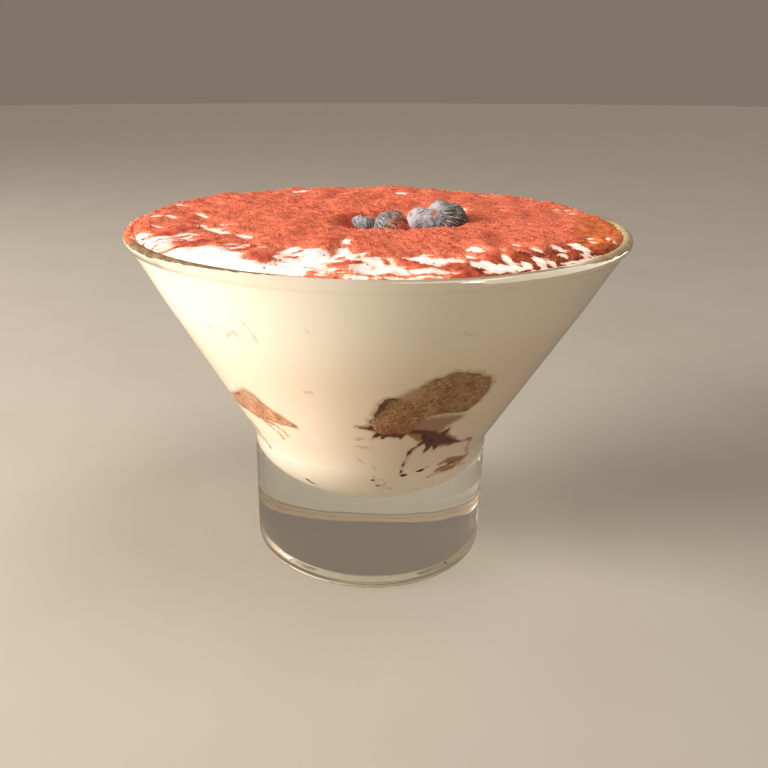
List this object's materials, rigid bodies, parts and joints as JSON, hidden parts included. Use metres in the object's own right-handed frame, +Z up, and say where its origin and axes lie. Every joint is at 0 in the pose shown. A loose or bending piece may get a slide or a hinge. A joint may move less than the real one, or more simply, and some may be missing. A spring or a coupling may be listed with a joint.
{
  "type": "tiramisu",
  "caption": "Tiramisu set in a V-shaped dessert glass: mascarpone cream with soaked ladyfingers at the wall, a cocoa skin on top and blueberries in a shallow well.",
  "frame": {"origin": "middle of the foot's underside, on the surface the glass stands on", "axes": "+Z up along the axis of the glass, -Y towards the side with the bare band of cream, +X to the right seen from there"},
  "size_m": [0.127, 0.127, 0.0973],
  "materials": {
    "clear_glass": "clear pressed soda-lime glass, fire-polished, with a faint green-yellow tint in the thick foot",
    "mascarpone_cream": "smooth ivory cream, satin where it lies against the glass",
    "cocoa_powder": "sifted red-brown cocoa powder, dry and dull, slightly lumpy",
    "soaked_ladyfinger": "coffee-soaked sponge, fine pored, damp and dull",
    "blueberry_skin": "dark slate-blue skin under a pale waxy bloom"
  },
  "bodies": {
    "root": {"glass": "clear_glass", "cream": "mascarpone_cream", "cocoa": "cocoa_powder", "ladyfinger_front_right": "soaked_ladyfinger", "ladyfinger_front_left": "soaked_ladyfinger", "ladyfinger_back_right": "soaked_ladyfinger", "ladyfinger_back_left": "soaked_ladyfinger", "blueberry_1": "blueberry_skin", "blueberry_2": "blueberry_skin", "blueberry_3": "blueberry_skin", "blueberry_4": "blueberry_skin"}
  },
  "joints": []
}
